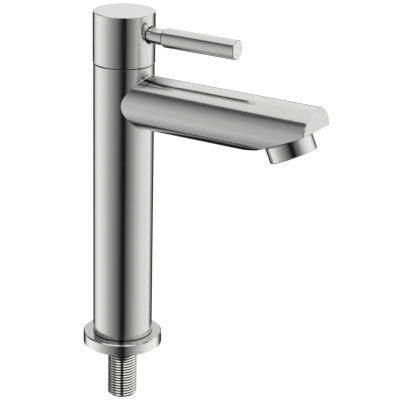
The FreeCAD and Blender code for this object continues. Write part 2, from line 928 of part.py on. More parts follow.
def spout():
    """Saddle-cut tube, closed by a flat end plate and a slanted sole plate."""
    inner_end = s.spout_reach - s.plate_thickness
    tube = lying_rod("spout_outside", spout_radius, 0, inner_end)
    bore = lying_rod("spout_inside", spout_bore, 0, s.spout_reach)
    saddle = rod("spout_saddle", column_radius + s.running_clear, s.spout_diameter * 2)
    move(saddle, 0, spout_level - s.spout_diameter)
    below = sole_block("spout_below_plate", -s.spout_diameter * 2, s.plate_thickness)
    keep("spout_tube", minus("spout_finished", tube, bore, saddle, below))

    outside = lying_rod("end_outside", spout_radius, inner_end, s.spout_reach)
    under = sole_block("end_below_sole", -s.spout_diameter * 2, 0)
    keep("spout_end_plate", minus("end_finished", outside, under))

    outside = lying_rod("sole_outside", spout_radius, 0, inner_end)
    slab = sole_block("sole_slab", 0, s.plate_thickness)
    plate = common("sole_blank", outside, slab)
    hole = rod("sole_hole", s.aerator_thread_diameter / 2 + s.fixed_clear, s.plate_thickness * 3)
    at_aerator(hole, -s.plate_thickness)
    keep("spout_sole_plate", minus("sole_finished", plate, hole))


def at_aerator(item, shift=0):
    """Place an item on the aerator's axis, its zero on the sole and its Z into the spout."""
    across = s.spout_reach - s.aerator_setback * cosine(s.sole_angle)
    up = spout_level + s.sole_rise - s.aerator_setback * sine(s.sole_angle)
    if isinstance(shift, Size):
        across = across - shift * sine(s.sole_angle)
        up = up + shift * cosine(s.sole_angle)
    return lean(item, across, up)


def aerator():
    """Threaded bush behind the sole, and the ring with its washer, insert and grid."""
    thread = s.aerator_thread_diameter / 2
    bush = thread + s.fixed_clear
    ledge = s.aerator_thread_length + s.rubber_thickness
    ledge_top = ledge + s.bush_ledge_height
    ledge_bore = s.bush_ledge_bore / 2
    keep("aerator_bush", at_aerator(turned("bush", [
        (bush, s.plate_thickness),
        (bush + s.bush_wall, s.plate_thickness),
        (bush + s.bush_wall, ledge_top),
        (ledge_bore, ledge_top),
        (ledge_bore, ledge),
        (bush, ledge),
    ])))
    rubber = ring("rubber", ledge_bore, thread, s.aerator_thread_length, ledge)
    keep("aerator_washer", at_aerator(rubber))
    collar = s.aerator_collar_diameter / 2
    bore = s.aerator_bore / 2
    lip_bore = s.aerator_lip_bore / 2
    foot = -s.aerator_collar_height
    lip = foot + s.aerator_lip_height
    bevel = s.aerator_collar_bevel
    keep("aerator_housing", at_aerator(turned("aerator_ring", [
        (lip_bore, foot),
        (collar - bevel, foot),
        (collar, foot + bevel),
        (collar, 0),
        (thread, 0),
        (thread, s.aerator_thread_length),
        (bore, s.aerator_thread_length),
        (bore, lip),
        (lip_bore, lip),
    ])))
    outer = bore - s.fixed_clear
    insert_foot = lip + s.grid_height
    plate_foot = s.aerator_thread_length - s.insert_plate
    insert = turned("insert", [
        (0, plate_foot),
        (outer - s.insert_wall, plate_foot),
        (outer - s.insert_wall, insert_foot),
        (outer, insert_foot),
        (outer, s.aerator_thread_length),
        (0, s.aerator_thread_length),
    ])
    hole = place_sketch(insert, "insert_hole", "XY_Plane", s.aerator_thread_length)
    ring_outline(hole, s.insert_hole_circle / 2, 0, s.insert_hole_diameter / 2)
    cut = pocket(insert, "insert_hole_cut", hole, s.insert_plate * 2)
    spread(insert, "insert_holes", cut, s.insert_hole_count)
    keep("aerator_insert", at_aerator(insert))
    keep("aerator_grid", at_aerator(outlet_grid(outer, lip)))


def outlet_grid(outer, foot):
    """Round grid of crossed bars that rests on the lip of the aerator ring."""
    rim = minus("grid_rim_ring", rod("grid_rim_blank", outer, s.grid_height),
                rod("grid_rim_bore", outer - s.grid_rim, s.grid_height * 2))
    bars = []
    pitch = (outer - s.grid_rim) * 2 / (s.grid_bars + 1)
    length = outer * 2
    for index in range(int(SIZES["grid_bars"])):
        offset = pitch * (index + 1) - (outer - s.grid_rim) - s.grid_bar / 2
        along = block(f"grid_along_{index}", length, s.grid_bar, s.grid_height)
        move(along, -outer, 0, sideways=offset)
        across = block(f"grid_across_{index}", s.grid_bar, length, s.grid_height)
        move(across, offset, 0, sideways=-outer)
        bars += [along, across]
    web = common("grid_web", join("grid_bars_joined", *bars),
                 rod("grid_blank", outer - s.grid_rim / 2, s.grid_height))
    grid = join("grid_finished", rim, web)
    bind(grid, "Placement.Base.z", foot)
    return group("grid_placed", grid)


base_flange()
column_tube()
base_plug()
threaded_tail()
riser()
valve_housing()
cartridge_body()
ceramic_discs()
spindle()
stop_ring()
glide_ring()
handle_cap()
spline_hub()
lever()
spout()
aerator()
doc.recompute()

# Nothing is written unless every feature and every piece is sound
for item in doc.Objects:
    if "Invalid" in item.State or "Error" in item.State:
        raise ValueError(f"{item.Label} did not build: {item.State}")
for name, item in pieces.items():
    if item.Shape.isNull() or not item.Shape.isValid():
        raise ValueError(f"{name} has no sound shape")

os.makedirs("parts", exist_ok=True)
for name, item in pieces.items():
    item.Shape.exportStep(f"parts/{name}.step")
    box = item.Shape.BoundBox
    print(f"{name:18s} {len(item.Shape.Solids)} solid  {item.Shape.Volume:9.1f} mm3  "
          f"z {box.ZMin:7.2f} {box.ZMax:7.2f}  x {box.XMin:7.2f} {box.XMax:7.2f}")
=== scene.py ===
import logging
import math
from dataclasses import dataclass, field
from enum import Enum

import bpy
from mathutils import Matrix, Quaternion, Vector


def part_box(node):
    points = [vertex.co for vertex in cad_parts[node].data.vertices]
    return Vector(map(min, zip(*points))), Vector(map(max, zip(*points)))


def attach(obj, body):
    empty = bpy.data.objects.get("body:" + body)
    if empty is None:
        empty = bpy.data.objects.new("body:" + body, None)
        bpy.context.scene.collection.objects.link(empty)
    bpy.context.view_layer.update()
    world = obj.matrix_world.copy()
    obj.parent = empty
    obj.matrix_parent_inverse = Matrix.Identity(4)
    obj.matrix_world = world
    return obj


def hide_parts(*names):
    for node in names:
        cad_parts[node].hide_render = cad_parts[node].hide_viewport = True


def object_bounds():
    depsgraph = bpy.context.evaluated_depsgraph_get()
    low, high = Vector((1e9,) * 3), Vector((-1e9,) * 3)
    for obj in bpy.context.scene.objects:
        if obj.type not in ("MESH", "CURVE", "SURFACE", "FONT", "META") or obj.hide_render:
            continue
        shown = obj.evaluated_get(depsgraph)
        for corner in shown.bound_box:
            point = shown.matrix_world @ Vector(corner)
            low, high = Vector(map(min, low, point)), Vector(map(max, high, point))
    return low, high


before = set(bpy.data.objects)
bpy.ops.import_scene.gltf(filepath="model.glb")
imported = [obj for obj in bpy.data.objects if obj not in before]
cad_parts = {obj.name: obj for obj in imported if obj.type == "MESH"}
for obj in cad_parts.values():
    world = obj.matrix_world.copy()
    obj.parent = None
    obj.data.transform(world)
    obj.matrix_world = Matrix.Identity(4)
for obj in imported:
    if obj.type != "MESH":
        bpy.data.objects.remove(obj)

CAD_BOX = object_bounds()

log = logging.getLogger("basin_tap")

# One millimetre in the frame's metres
MM = 0.001

# Sides of a full turn on the large and on the small round pieces
FINE = 192
PLAIN = 96

# Corners closer than this, in metres, count as one in a cut and in a closed seam
CUT_GAP = MM / 1000
SEAM_GAP = MM / 500

# Degrees: a sharper edge than the first is broken, faces that meet at less than the second
# look round
BREAK_ANGLE = 25
ROUND_ANGLE = 30

# The middle value of a noise texture
NOISE_MIDDLE = 0.5

WHITE = (1.0, 1.0, 1.0, 1.0)

# Sockets of a Mix node that mixes colours: its factor, its two colours and its result
MIX_FACTOR, MIX_FIRST, MIX_SECOND, MIX_RESULT = 0, 6, 7, 2

Piece = bpy.types.Object
Material = bpy.types.Material
Profile = list[tuple[float, float]]
Tint = tuple[float, float, float]

# Where a soft edge is gone and where it is full
SoftEdge = tuple[float, float]

# A place along a graph and the grey there
GraphPoint = tuple[float, float]


class Axis(Enum):
    """The lines about which the pieces of the tap were turned."""

    COLUMN = "column"
    LEVER = "lever"
    SPOUT = "spout"
    AERATOR = "aerator"


class Cut(Enum):
    """What a tool leaves of a piece: all that is outside the tool, or all that is in it."""

    AWAY = "DIFFERENCE"
    TRIM = "INTERSECT"


@dataclass(frozen=True)
class Placement:
    """Where a turned piece stands: its zero point in millimetres and its tilt about Y."""

    across: float = 0.0
    up: float = 0.0
    tilt: float = 0.0

    @property
    def location(self) -> Vector:
        """The zero point in metres."""
        return Vector((self.across, 0.0, self.up)) * MM

    @property
    def rotation(self) -> tuple[float, float, float]:
        """The turn as Euler angles in radians."""
        return (0.0, math.radians(self.tilt), 0.0)


class Signal:
    """A shader socket whose sums and products add Math nodes."""

    def __init__(self, network: "Network", socket: bpy.types.NodeSocket) -> None:
        """Wrap one output socket of a network."""
        self.network = network
        self.socket = socket

    def _maths(self, operation: str, *terms: "float | Signal") -> "Signal":
        """Join terms in one Math node, which has this operation."""
        return self.network.make("ShaderNodeMath", {"operation": operation}, *terms)

    def __add__(self, other: "float | Signal") -> "Signal":
        """Add."""
        return self._maths("ADD", self, other)

    def __radd__(self, other: float) -> "Signal":
        """Add, with the number first."""
        return self._maths("ADD", other, self)

    def __sub__(self, other: "float | Signal") -> "Signal":
        """Subtract."""
        return self._maths("SUBTRACT", self, other)

    def __rsub__(self, other: float) -> "Signal":
        """Subtract from a number."""
        return self._maths("SUBTRACT", other, self)

    def __mul__(self, other: "float | Signal") -> "Signal":
        """Multiply."""
        return self._maths("MULTIPLY", self, other)

    def __rmul__(self, other: float) -> "Signal":
        """Multiply, with the number first."""
        return self._maths("MULTIPLY", other, self)

    def __pow__(self, other: "float | Signal") -> "Signal":
        """Raise to a power."""
        return self._maths("POWER", self, other)

    def size(self) -> "Signal":
        """Drop the sign."""
        return self._maths("ABSOLUTE", self)

    def sine_angle(self) -> "Signal":
        """The angle whose sine this is, in radians."""
        return self._maths("ARCSINE", self)

    def angle_from(self, other: "Signal") -> "Signal":
        """The angle of the point (other, self) about zero, in radians."""
        return self._maths("ARCTAN2", self, other)

    def toward(self, goal: "float | Signal", share: "Signal") -> "Signal":
        """Move to a goal by a share of the way."""
        return self + (goal - self) * share


class Network:
    """A node tree under construction."""

    def __init__(self, tree: bpy.types.NodeTree) -> None:
        """Empty the tree and start on it."""
        self.tree = tree
        tree.nodes.clear()

    @classmethod
    def of_material(cls, name: str) -> tuple[Material, "Network"]:
        """Make a new material.

        Args:
            name: The material's name.

        Returns:
            The material, and the empty network in it.
        """
        made = bpy.data.materials.new(name)
        made.use_nodes = True
        return made, cls(made.node_tree)

    def make(
        self,
        kind: str,
        settings: dict[str, object] | None = None,
        *places: "float | Signal | None",
        output: str | int = 0,
        **sockets: object,
    ) -> Signal:
        """Add one node.

        Args:
            kind: The node's type.
            settings: Properties that are set before any socket. "stops" fills a ramp.
            places: Values or links for the first sockets, in order.
            output: Name or number of the output that is returned.
            sockets: Values or links by socket name, with _ for each space.

        Returns:
            The chosen output.
        """
        node = self.tree.nodes.new(kind)
        for key, value in (settings or {}).items():
            if key == "stops":
                self._fill_ramp(node.color_ramp, value)
            else:
                setattr(node, key, value)
        named = {key.replace("_", " "): value for key, value in sockets.items()}
        for key, value in [*enumerate(places), *named.items()]:
            if value is None:
                continue
            if isinstance(value, Signal):
                self.tree.links.new(value.socket, node.inputs[key])
            else:
                node.inputs[key].default_value = value
        return Signal(self, node.outputs[output] if node.outputs else None)

    @staticmethod
    def _fill_ramp(ramp: bpy.types.ColorRamp, stops: list[GraphPoint]) -> None:
        """Set the stops of a ramp.

        Args:
            ramp: The ramp of a node.
            stops: Its stops in order.
        """
        while len(ramp.elements) < len(stops):
            ramp.elements.new(1.0)
        for element, (place, grey) in zip(ramp.elements, stops):
            element.position = place
            element.color = (grey, grey, grey, 1.0)

    def blend(self, share: Signal, first: "Tint | Signal", second: "Tint | Signal") -> Signal:
        """Mix two colours.

        Args:
            share: 0 for the first colour, 1 for the second.
            first: The first colour.
            second: The second colour.

        Returns:
            The mixed colour.
        """
        node = self.tree.nodes.new("ShaderNodeMix")
        node.data_type = "RGBA"
        for place, value in ((MIX_FACTOR, share), (MIX_FIRST, first), (MIX_SECOND, second)):
            if isinstance(value, Signal):
                self.tree.links.new(value.socket, node.inputs[place])
            else:
                node.inputs[place].default_value = (*value, 1.0)
        return Signal(self, node.outputs[MIX_RESULT])

    def coat(self, **sockets: object) -> None:
        """End in one Principled surface, with these values or links by socket name."""
        surface = self.make("ShaderNodeBsdfPrincipled", None, **sockets)
        self.make("ShaderNodeOutputMaterial", None, surface)

    def step(self, value: Signal, low: float, high: float) -> Signal:
        """Rise smoothly from 0 at low to 1 at high."""
        return self.make("ShaderNodeMapRange", {"interpolation_type": "SMOOTHSTEP"},
                         value, low, high, 0.0, 1.0)

    def split(self, vector: Signal) -> list[Signal]:
        """Split a vector into its three parts."""
        node = self.make("ShaderNodeSeparateXYZ", None, vector).socket.node
        return [Signal(self, output) for output in node.outputs]


@dataclass(frozen=True)
class Spot:
    """A point of a piece about its axis, in metres: its radius and its place."""

    net: Network
    radius: Signal
    x: Signal
    y: Signal
    z: Signal


@dataclass(frozen=True)
class Crevice:
    """Painted shade: a dark line round an axis, in the gap where two pieces meet: its radius and
    height and its width.
    """

    radius: float
    height: float
    width: float = 0.35
    # Widths from the middle of the line at which it is black and gone
    black: float = 0.5
    gone: float = 1.5

    def share(self, at: Spot) -> Signal:
        """How clear a point is of the line, from 0 in it to 1 beside it."""
        off = ((at.radius - self.radius * MM) ** 2 + (at.z - self.height * MM) ** 2) ** 0.5
        return at.net.step(off, self.width * self.black * MM, self.width * self.gone * MM)


@dataclass(frozen=True)
class Groove:
    """Painted shade in the bottoms of a thread: black up to one radius, unshaded from another.
    """

    black: float
    clean: float

    def share(self, at: Spot) -> Signal:
        """How unshaded a point is, from 0 in the groove to 1 on the crest."""
        return at.net.step(at.radius, self.black * MM, self.clean * MM)


@dataclass(frozen=True)
class SideHole:
    """Painted shade on the wall of a hole in the +X side: its radius and the height of its
    middle.
    """

    radius: float
    height: float
    edge: float = 0.12

    def share(self, at: Spot) -> Signal:
        """How clear a point is of the hole.

        Args:
            at: The point about the axis across which the hole was drilled.

        Returns:
            The share, from 0 on the wall to 1 outside it and on the -X side.
        """
        off = (at.y ** 2 + (at.z - self.height * MM) ** 2) ** 0.5
        behind = at.net.step(at.x, 0.0, MM) * -self.radius + self.radius
        return at.net.step(off + behind * MM, self.radius * MM, (self.radius + self.edge) * MM)


@dataclass(frozen=True)
class Ledge:
    """A level top painted darker than the sides, as painted shade: its height and the share of
    light lost.
    """

    height: float
    loss: float = 0.34
    # Depths below the ledge at which the loss starts and is full
    start: float = 0.2
    full: float = 0.05

    def share(self, at: Spot) -> Signal:
        """How clear a point is of the ledge."""
        low, high = (self.height - self.start) * MM, (self.height - self.full) * MM
        return at.net.step(at.z, low, high) * -self.loss + 1


@dataclass(frozen=True)
class Corner:
    """Painted shade on top of the spout, close to the column.

    It is full beside the column, whose radius it is given, and gone after the reach. It starts
    at the low height above the spout's axis and is full at the high one.
    """

    radius: float
    low: float = 11.5
    high: float = 16.0
    reach: float = 30.0
    loss: float = 0.74

    def share(self, at: Spot) -> Signal:
        """How clear a point is of the corner.

        Args:
            at: The point about the spout's axis, on which the column's axis is at zero.

        Returns:
            The share, down to 1 less the loss in the corner.
        """
        off = (at.y ** 2 + at.z ** 2) ** 0.5
        near = 1 - at.net.step(off, self.radius * MM, (self.radius + self.reach) * MM)
        above = at.net.step(at.x * -1, self.low * MM, self.high * MM)
        return near * above * -self.loss + 1


# Marks of painted shade, which darken a metal's base colour
Mark = Crevice | Groove | SideHole | Ledge | Corner


@dataclass(frozen=True)
class Steel:
    """Stainless steel with hairlines round the axis on which it was turned or belted."""

    name: str
    tint: Tint
    roughness: float
    roughness_swing: float
    hairline: float
    hairline_bump: float
    hairline_share: float = 0.6
    stretch: float = 60.0
    smudge: float = 14.0
    dull: float = 0.95
    shadow: Tint = (0.07, 0.07, 0.07)

    def material(self, axis: Axis, placement: Placement, *marks: Mark) -> Material:
        """Make the finish for one axis.

        Args:
            axis: The axis that names the material.
            placement: Where that axis stands.
            marks: The painted shade that darkens the metal round that axis.

        Returns:
            The material, made on first use.
        """
        title = "_".join([self.name, axis.value, *(type(mark).__name__ for mark in marks)])
        if title in bpy.data.materials:
            return bpy.data.materials[title]
        made, net = Network.of_material(title)
        place = net.make("ShaderNodeTexCoord", output="Object")
        local = net.make(
            "ShaderNodeMapping", {"vector_type": "TEXTURE"},
            Vector=place, Location=placement.location, Rotation=placement.rotation,
        )
        x, y, z = net.split(local)
        radius = (x ** 2 + y ** 2) ** 0.5
        fine = 1 / (self.hairline * MM)
        slow = fine / self.stretch
        line = net.make("ShaderNodeCombineXYZ", None, radius * fine + x * slow,
                        z * fine, y * slow)
        hair = net.make("ShaderNodeTexNoise", {"noise_dimensions": "3D"},
                        Vector=line, Scale=1.0, Detail=2.0, Roughness=0.6)
        cloud = net.make("ShaderNodeTexNoise", {"noise_dimensions": "3D"},
                         Vector=local, Scale=1 / (self.smudge * MM), Detail=3.0, Roughness=0.55)
        rough = (self.roughness + (hair - NOISE_MIDDLE) * self.roughness_swing
                 + (cloud - NOISE_MIDDLE) * self.roughness_swing)
        dull = tuple(part * self.dull for part in self.tint)
        mottle = hair * self.hairline_share + cloud * (1 - self.hairline_share)
        shade = net.blend(mottle, dull, self.tint)
        spot = Spot(net, radius, x, y, z)
        # Each mark paints shade into the base colour
        for mark in marks:
            shade = net.blend(mark.share(spot), self.shadow, shade)
        bump = net.make("ShaderNodeBump", None, Strength=self.hairline_bump,
                        Distance=self.hairline * MM, Height=hair)
        net.coat(Base_Color=shade, Metallic=1.0, Roughness=rough, Normal=bump)
        return made


@dataclass(frozen=True)
class Moulded:
    """Rubber, plastic, brass or ceramic with a fine grain."""

    name: str
    tint: Tint
    roughness: float
    metallic: float = 0.0
    grain: float = 0.4
    bump: float = 0.05
    patch: float = 20.0
    dull: float = 0.9
    roughness_swing: float = 0.1

    def material(self) -> Material:
        """Make the finish.

        Returns:
            The material, made on first use.
        """
        if self.name in bpy.data.materials:
            return bpy.data.materials[self.name]
        made, net = Network.of_material(self.name)
        place = net.make("ShaderNodeTexCoord", output="Object")
        grain = net.make("ShaderNodeTexNoise", None, Vector=place,
                         Scale=1 / (self.grain * MM), Detail=3.0)
        patch = net.make("ShaderNodeTexNoise", None, Vector=place,
                         Scale=1 / (self.grain * self.patch * MM), Detail=2.0)
        shade = net.blend(patch, tuple(part * self.dull for part in self.tint), self.tint)
        bump = net.make("ShaderNodeBump", None, Strength=self.bump,
                        Distance=self.grain * MM, Height=grain)
        rough = self.roughness + (grain - NOISE_MIDDLE) * self.roughness_swing
        net.coat(Base_Color=shade, Metallic=self.metallic, Roughness=rough, Normal=bump)
        return made


# The flange ring's steel is a lighter copy of the brushed stainless: painted light
RING = Steel("brushed_ring", (0.90, 0.90, 0.895), 0.135, 0.04, 0.22, 0.05)
BRUSHED = Steel("brushed_stainless", (0.80, 0.80, 0.795), 0.135, 0.04, 0.22, 0.05)
THREAD = Steel("thread_steel", (0.92, 0.92, 0.91), 0.09, 0.03, 0.3, 0.03)
TURNED = Steel("turned_stainless", (0.74, 0.74, 0.73), 0.24, 0.08, 0.35, 0.08)
BRASS = Moulded("brass", (0.80, 0.62, 0.30), 0.28, metallic=1.0)
RUBBER = Moulded("rubber", (0.025, 0.025, 0.027), 0.62)
GREY_PLASTIC = Moulded("grey_plastic", (0.20, 0.20, 0.21), 0.42)
WHITE_PLASTIC = Moulded("white_plastic", (0.84, 0.84, 0.82), 0.38)
CERAMIC = Moulded("ceramic", (0.90, 0.89, 0.86), 0.10, grain=0.2, bump=0.01)


class Bench:
    """The modelling steps that the pieces of the tap share."""

    @staticmethod
    def clear() -> None:
        """Leave edit mode with nothing selected."""
        if bpy.context.mode != "OBJECT":
            bpy.ops.object.mode_set(mode="OBJECT")
        bpy.ops.object.select_all(action="DESELECT")

    @staticmethod
    def pick(piece: Piece) -> None:
        """Select one object alone and make it active.

        Args:
            piece: The object.
        """
        Bench.clear()
        piece.select_set(True)
        bpy.context.view_layer.objects.active = piece

    @staticmethod
    def edit() -> None:
        """Enter edit mode with all of the active mesh selected."""
        bpy.ops.object.mode_set(mode="EDIT")
        bpy.ops.mesh.select_all(action="SELECT")

    @staticmethod
    def modify(piece: Piece, kind: str, **settings: object) -> None:
        """Apply a modifier.

        Args:
            piece: The piece that is changed.
            kind: The modifier's type.
            settings: Its properties.
        """
        Bench.pick(piece)
        step = piece.modifiers.new(kind.lower(), kind)
        for key, value in settings.items():
            setattr(step, key, value)
        bpy.ops.object.modifier_apply(modifier=step.name)

    @staticmethod
    def turn(name: str, profile: Profile, sides: int = FINE, solid: bool = False,
             placement: Placement = Placement()) -> Piece:
        """Turn a profile by extruding a ring from corner to corner.

        Args:
            name: The piece's name.
            profile: (radius, height) corners in millimetres.
            sides: Sides of the full turn.
            solid: Close the two ends with discs, else join the last ring to the first.
            placement: Where the finished piece stands.

        Returns:
            The finished object, with its place in its mesh.
        """
        Bench.clear()
        radius, height = profile[0]
        bpy.ops.mesh.primitive_circle_add(
            vertices=sides, radius=radius * MM, fill_type="NOTHING", location=(0, 0, height * MM)
        )
        piece = bpy.context.active_object
        piece.name = name
        piece.data.name = name
        bpy.ops.object.transform_apply(location=True, rotation=True, scale=True)
        Bench.edit()
        for next_radius, next_height in profile[1:]:
            bpy.ops.mesh.extrude_region()
            bpy.ops.transform.translate(value=(0, 0, (next_height - height) * MM))
            factor = next_radius / radius
            bpy.ops.transform.resize(
                value=(factor, factor, 1), center_override=(0, 0, next_height * MM)
            )
            radius, height = next_radius, next_height
        bpy.ops.mesh.select_all(action="DESELECT")
        bpy.ops.mesh.select_non_manifold()
        if solid:
            bpy.ops.mesh.fill_holes(sides=0)
        else:
            bpy.ops.mesh.bridge_edge_loops()
        Bench.outward()
        Bench.place(piece, placement)
        return piece

    @staticmethod
    def outward() -> None:
        """Turn all faces outwards and leave edit mode."""
        bpy.ops.mesh.select_all(action="SELECT")
        bpy.ops.mesh.normals_make_consistent(inside=False)
        bpy.ops.object.mode_set(mode="OBJECT")

    @staticmethod
    def place(piece: Piece, placement: Placement) -> None:
        """Move a piece to its placement and put that into its mesh.

        Args:
            piece: The piece, turned about Z at zero.
            placement: Where it goes.
        """
        Bench.pick(piece)
        piece.rotation_euler = placement.rotation
        piece.location = placement.location
        bpy.ops.object.transform_apply(location=True, rotation=True, scale=True)

    @staticmethod
    def rod(name: str, radius: float, start: float, stop: float,
            placement: Placement, sides: int = FINE) -> Piece:
        """A plain cylinder, used as a blank or as a cutter."""
        return Bench.turn(name, [(radius, start), (radius, stop)], sides, True, placement)

    @staticmethod
    def combine(piece: Piece, tool: Piece, cut: Cut = Cut.AWAY) -> None:
        """Cut a piece with a tool, which is deleted."""
        Bench.modify(piece, "BOOLEAN", object=tool, operation=cut.value, solver="EXACT")
        bpy.data.objects.remove(tool, do_unlink=True)

    @staticmethod
    def slice(piece: Piece, point: Vector, normal: Vector) -> None:
        """Cut a piece by a plane and close the cut.

        Args:
            piece: The piece that is cut.
            point: A point of the plane, in metres.
            normal: The direction of the side that is dropped.
        """
        Bench.pick(piece)
        Bench.edit()
        bpy.ops.mesh.bisect(plane_co=point, plane_no=normal, use_fill=True,
                            clear_outer=True, clear_inner=False, threshold=CUT_GAP)
        Bench.outward()

    @staticmethod
    def copy(piece: Piece, name: str) -> Piece:
        """Copy a piece with its mesh.

        Args:
            piece: The piece to copy.
            name: The copy's name.

        Returns:
            The copy, in the scene.
        """
        twin = piece.copy()
        twin.data = piece.data.copy()
        twin.name = name
        twin.data.name = name
        bpy.context.scene.collection.objects.link(twin)
        return twin

    @staticmethod
    def soften(piece: Piece, width: float, steps: int = 2) -> None:
        """Break the sharp edges by a width in millimetres, in so many steps."""
        Bench.modify(piece, "BEVEL", width=width * MM, segments=steps,
                     limit_method="ANGLE", angle_limit=math.radians(BREAK_ANGLE))

    @staticmethod
    def smooth(piece: Piece, angle: float = ROUND_ANGLE) -> None:
        """Smooth the round faces and keep the flat ones flat.

        Args:
            piece: The piece.
            angle: Degrees below which faces that meet look round.
        """
        Bench.pick(piece)
        bpy.ops.object.shade_smooth_by_angle(angle=math.radians(angle))
        Bench.modify(piece, "WEIGHTED_NORMAL", keep_sharp=True)

    @staticmethod
    def finish(piece: Piece, material: Material, *nodes: str, body: str = "root",
               slot: str = "brushed_stainless") -> None:
        """Dress a piece and hang it on its body.

        Args:
            piece: The finished piece.
            material: Its finish.
            nodes: The CAD nodes that it stands for.
            body: The body that it moves with.
            slot: The material slot of the CAD model that its finish belongs to; not used.
        """
        piece.data.materials.clear()
        piece.data.materials.append(material)
        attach(piece, body)
        if nodes:
            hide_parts(*nodes)
        log.info("%s: %d faces on %s", piece.name, len(piece.data.polygons), body)


def span(node: str) -> tuple[Vector, Vector]:
    """The low and high corner of a CAD node in millimetres."""
    low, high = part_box(node)
    return low / MM, high / MM


@dataclass
class Column:
    """Flange, tube and threaded tail, which share the upright axis. Sizes in millimetres."""

    spout: Placement
    flange_bevel: float = 0.8
    flange_bore: float = 10.8
    wall: float = 2.0
    rim_bevel: float = 0.35
    window: float = 26.0
    tail_bore: float = 15.0
    shank: float = 20.0
    # Turns on the tail, turns that are swept below its end, and how far all of them are lowered
    thread_turns: float = 19.5
    thread_lead: int = 2
    thread_start: float = 0.72
    # A tooth: its depth, the heights of its lower flank, its face and its upper flank, and the
    # degrees by which the face leans upwards
    thread_depth: float = 1.0
    thread_foot: float = 0.45
    thread_face: float = 0.78
    thread_back: float = 0.2
    thread_slope: float = 31.0
    # Depths below the crest at which the groove's painted shade is black and gone
    groove_black: float = 0.75
    groove_clean: float = 0.5
    thread_round: float = 35.0
    tail_bevel: float = 1.0
    edge: float = 0.12
    # Widths of the painted shade lines at the seam under the cap and at the column's foot
    seam: float = 0.4
    foot_shade: float = 0.6
    axis: Placement = Placement()

    def build(self) -> None:
        """Make every visible piece of the column."""
        self._flange()
        self._tube()
        self._tail()

    def _flange(self) -> None:
        """The ring on the deck, with its broad top bevel."""
        low, high = span("base_flange")
        rim = high.x
        # Painted shade: a dark line on the flange round the column's foot
        foot = Crevice(span("column_tube")[1].x, high.z)
        piece = Bench.turn("flange_ring", [
            (self.flange_bore, low.z), (rim, low.z), (rim, high.z - self.flange_bevel),
            (rim - self.flange_bevel, high.z), (self.flange_bore, high.z),
        ])
        Bench.soften(piece, self.edge)
        Bench.smooth(piece)
        # The flange's top is painted darker, as painted shade
        Bench.finish(piece, RING.material(Axis.COLUMN, self.axis, foot, Ledge(high.z)),
                     "base_flange")

    def _tube(self) -> None:
        """The column itself, with the window into the spout."""
        low, high = span("column_tube")
        radius = high.x
        bore = radius - self.wall
        # Painted shade lines: at the column's foot by the flange and at the seam under the cap
        foot = Crevice(radius, low.z, self.foot_shade)
        seam = Crevice(radius, (high.z + span("handle_cap")[0].z) / 2, self.seam)
        piece = Bench.turn("column_shell", [
            (bore, low.z), (radius - self.rim_bevel, low.z), (radius, low.z + self.rim_bevel),
            (radius, high.z - self.rim_bevel), (radius - self.rim_bevel, high.z),
            (bore, high.z),
        ])
        cutter = Bench.rod("window_cutter", self.window / 2, 0, radius * 2, self.spout, PLAIN)
        Bench.combine(piece, cutter)
        Bench.smooth(piece)
        Bench.finish(piece, BRUSHED.material(Axis.COLUMN, self.axis, foot, seam),
                     "column_tube")

    def _tail(self) -> None:
        """The hollow tail with its helical thread, and the plain shank above it."""
        low, high = span("threaded_tail")
        crest = high.x
        root = crest - self.thread_depth
        pitch = -(low.z + self.tail_bevel) / self.thread_turns
        start = low.z - pitch * self.thread_lead - self.thread_start
        piece = self._thread_skin(root, crest, pitch, start)
        Bench.slice(piece, Vector((0, 0, low.z)) * MM, Vector((0, 0, -1)))
        Bench.slice(piece, Vector((0, 0, 0)), Vector((0, 0, 1)))
        envelope = Bench.turn("tail_envelope", [
            (crest - self.tail_bevel, low.z - self.edge),
            (crest + self.edge, low.z + self.tail_bevel),
            (crest + self.edge, pitch),
        ], PLAIN, solid=True)
        Bench.combine(piece, envelope, Cut.TRIM)
        bore = Bench.rod("tail_bore_cutter", self.tail_bore / 2, low.z - 1, pitch,
                         self.axis, PLAIN)
        Bench.combine(piece, bore)
        shank = Bench.turn("tail_shank", [
            (self.tail_bore / 2, 0), (self.shank / 2, 0),
            (self.shank / 2, high.z), (self.tail_bore / 2, high.z),
        ], PLAIN)
        Bench.pick(shank)
        piece.select_set(True)
        bpy.context.view_layer.objects.active = piece
        bpy.ops.object.join()
        piece.name = "threaded_tail_skin"
        Bench.smooth(piece, self.thread_round)
        # Painted shade in the bottoms of the thread's grooves
        groove = Groove(crest - self.groove_black, crest - self.groove_clean)
        Bench.finish(piece, THREAD.material(Axis.COLUMN, self.axis, groove),
                     "threaded_tail", slot="thread_steel")

    def _thread_skin(self, root: float, crest: float, pitch: float,
                     start: float) -> Piece:
        """Sweep one tooth of the thread up a helix, past both ends of the thread.

        Args:
            root: Radius at the bottom of the groove, in millimetres.
            crest: Radius at the top of the tooth.
            pitch: Height of one turn.
            start: Height of the first turn's foot.

        Returns:
            The helical skin, open at both ends.
        """
        shoulder = crest - self.thread_face * math.tan(math.radians(self.thread_slope))
        top = self.thread_foot + self.thread_face
        corners = [(root, 0), (crest, self.thread_foot), (shoulder, top),
                   (root, top + self.thread_back), (root, pitch)]
        Bench.clear()
        bpy.ops.mesh.primitive_plane_add(size=MM, location=(0, 0, 0))
        piece = bpy.context.active_object
        Bench.edit()
        bpy.ops.mesh.merge(type="CENTER")
        bpy.ops.transform.translate(value=(corners[0][0] * MM, 0, start * MM))
        for (from_radius, from_height), (radius, height) in zip(corners, corners[1:]):
            bpy.ops.mesh.extrude_region()
            bpy.ops.transform.translate(
                value=((radius - from_radius) * MM, 0, (height - from_height) * MM)
            )
        Bench.modify(piece, "SCREW", axis="Z", screw_offset=pitch * MM,
                     iterations=math.ceil(1 - start / pitch), steps=PLAIN,
                     render_steps=PLAIN, use_merge_vertices=False)
        Bench.edit()
        bpy.ops.mesh.remove_doubles(threshold=SEAM_GAP)
        Bench.outward()
        return piece


